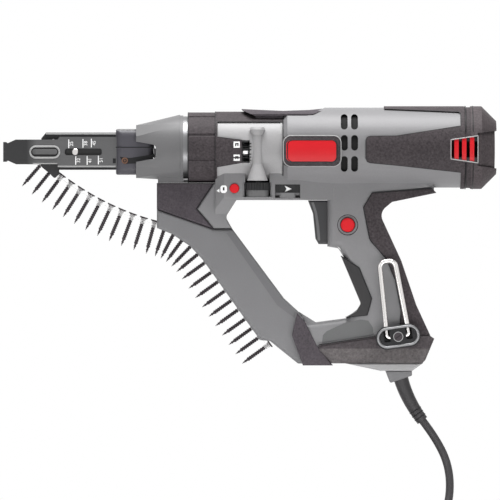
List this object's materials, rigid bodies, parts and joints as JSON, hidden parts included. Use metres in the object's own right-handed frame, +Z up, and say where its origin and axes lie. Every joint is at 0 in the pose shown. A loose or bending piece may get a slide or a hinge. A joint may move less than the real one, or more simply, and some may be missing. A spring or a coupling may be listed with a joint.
{
  "type": "drywall screwdriver",
  "caption": "Corded auto-feed drywall screwdriver: pistol grip, motor barrel, screw-strip magazine under the barrel and a sliding nose that drives a screw at each push.",
  "frame": {"origin": "middle of the grip on the tool's mid-plane, where a hand closes round it", "axes": "+X back towards the motor's end cap, the nose points to -X; +Z up; +Y the tool's right side"},
  "size_m": [0.4531, 0.1321, 0.4041],
  "materials": {
    "casing_grey": "fine texture",
    "front_grey": "painted, satin",
    "gear_case": "painted, satin",
    "rubber_dark": "soft texture",
    "panel_dark": "fine texture",
    "ring_bright": "brushed",
    "nose_black": "satin",
    "red_plastic": "smooth",
    "wheel_black": "ribbed",
    "steel": "machined",
    "chrome_wire": "polished",
    "phosphate": "black phosphate",
    "strip_white": "translucent white",
    "lamination": "laminated",
    "copper": "enamelled copper",
    "bronze": "sintered",
    "carbon": "carbon",
    "fan_plastic": "moulded",
    "gland_grey": "moulded",
    "cord_black": "matt"
  },
  "bodies": {
    "housing": {"housing_left": "casing_grey", "housing_right": "casing_grey", "magazine_left": "casing_grey", "magazine_right": "casing_grey", "base_plate": "casing_grey", "front_housing": "front_grey", "gear_housing": "gear_case", "bearing_plate": "gear_case", "gear_overmold": "rubber_dark", "barrel_overmold": "rubber_dark", "handle_overmold": "rubber_dark", "grip_insert": "rubber_dark", "base_shoe": "rubber_dark", "collar": "rubber_dark", "rear_cap": "rubber_dark", "magazine_panel": "panel_dark", "magazine_band": "panel_dark", "top_pad": "panel_dark", "hook_plate": "panel_dark", "badge_frames": "panel_dark", "retaining_ring": "ring_bright", "badge_plates": "red_plastic", "rear_vent_grilles": "red_plastic", "ball_bearings": "steel", "return_spring": "steel", "hook_screw": "steel", "housing_screws": "steel", "strip_screws": "phosphate", "collation_strip": "strip_white", "field_core": "lamination", "field_coils": "copper", "bushes": "bronze", "brush_holders": "bronze", "plug_blades": "bronze", "brushes": "carbon", "switch_module": "fan_plastic", "cord_gland": "gland_grey", "strain_relief": "cord_black", "cord": "cord_black", "cord_coil": "cord_black", "plug": "cord_black"},
    "trigger": {"trigger": "panel_dark"},
    "lock_button": {"lock_button": "red_plastic"},
    "release_button": {"release_button": "red_plastic"},
    "reverse_slider": {"reverse_slider": "panel_dark"},
    "depth_wheel": {"depth_wheel": "wheel_black"},
    "depth_pointer": {"depth_pointer": "wheel_black"},
    "hook_wire": {"hook_wire": "chrome_wire"},
    "armature": {"armature_shaft": "steel", "armature_core": "lamination", "commutator": "copper", "cooling_fan": "fan_plastic"},
    "countershaft": {"countershaft": "steel"},
    "spindle": {"output_gear": "steel", "spindle": "steel", "driver_bit": "steel"},
    "feed_slide": {"slide_body": "panel_dark"},
    "nosepiece": {"nosepiece": "nose_black"},
    "length_pin": {"length_pin": "steel"},
    "feed_sprocket": {"feed_sprocket": "steel"}
  },
  "joints": [
    {"name": "nose_slide", "type": "slide", "parent": "housing", "child": "feed_slide", "axis": [1, 0, 0], "range_m": [0, 0.054], "stiffness_N_per_m": 350, "springref_m": -0.05, "deforming": ["return_spring", "strip_screws", "collation_strip"]},
    {"name": "nosepiece_adjust", "type": "slide", "parent": "feed_slide", "child": "nosepiece", "axis": [1, 0, 0], "range_m": [-0.02, 0.006]},
    {"name": "length_pin_press", "type": "slide", "parent": "feed_slide", "child": "length_pin", "axis": [0, 1, 0], "range_m": [0, 0.002], "stiffness_N_per_m": 400, "springref_m": -0.002},
    {"name": "sprocket_index", "type": "hinge", "parent": "feed_slide", "child": "feed_sprocket", "pos_m": [-0.293, 0, 0.1103], "axis": [0, 1, 0], "range_deg": [0, 45]},
    {"name": "trigger_pull", "type": "slide", "parent": "housing", "child": "trigger", "axis": [1, 0, 0], "range_m": [0, 0.007], "stiffness_N_per_m": 900, "springref_m": -0.003},
    {"name": "lock_button_press", "type": "slide", "parent": "housing", "child": "lock_button", "axis": [0, 1, 0], "range_m": [0, 0.003], "stiffness_N_per_m": 800, "springref_m": -0.002},
    {"name": "release_button_press", "type": "slide", "parent": "housing", "child": "release_button", "axis": [0, 1, 0], "range_m": [0, 0.0025], "stiffness_N_per_m": 800, "springref_m": -0.002},
    {"name": "reverse_slide", "type": "slide", "parent": "housing", "child": "reverse_slider", "axis": [1, 0, 0], "range_m": [-0.004, 0.004]},
    {"name": "depth_wheel_turn", "type": "hinge", "parent": "housing", "child": "depth_wheel", "pos_m": [-0.1054, -0.0125, 0.0558], "axis": [0, 0, 1], "range_deg": [-720, 720]},
    {"name": "depth_pointer_slide", "type": "slide", "parent": "housing", "child": "depth_pointer", "axis": [0, 0, 1], "range_m": [-0.008, 0.008]},
    {"name": "hook_swing", "type": "hinge", "parent": "housing", "child": "hook_wire", "pos_m": [0.0237, -0.0243, -0.0697], "axis": [0.9903, 0, 0.1392], "range_deg": [0, 90]},
    {"name": "armature_spin", "type": "hinge", "parent": "housing", "child": "armature", "pos_m": [0, 0, 0.104], "axis": [1, 0, 0], "continuous": true},
    {"name": "countershaft_spin", "type": "hinge", "parent": "housing", "child": "countershaft", "pos_m": [0, 0.01386, 0.102], "axis": [1, 0, 0], "continuous": true},
    {"name": "spindle_spin", "type": "hinge", "parent": "housing", "child": "spindle", "pos_m": [0, 0, 0.1], "axis": [1, 0, 0], "continuous": true}
  ],
  "couplings": [
    {"joint": "sprocket_index", "follows": "nose_slide", "rad_per_m": 14.544},
    {"joint": "depth_wheel_turn", "follows": "depth_pointer_slide", "rad_per_m": 1570.8},
    {"joint": "countershaft_spin", "follows": "armature_spin", "ratio": -0.25},
    {"joint": "spindle_spin", "follows": "armature_spin", "ratio": 0.083333}
  ]
}
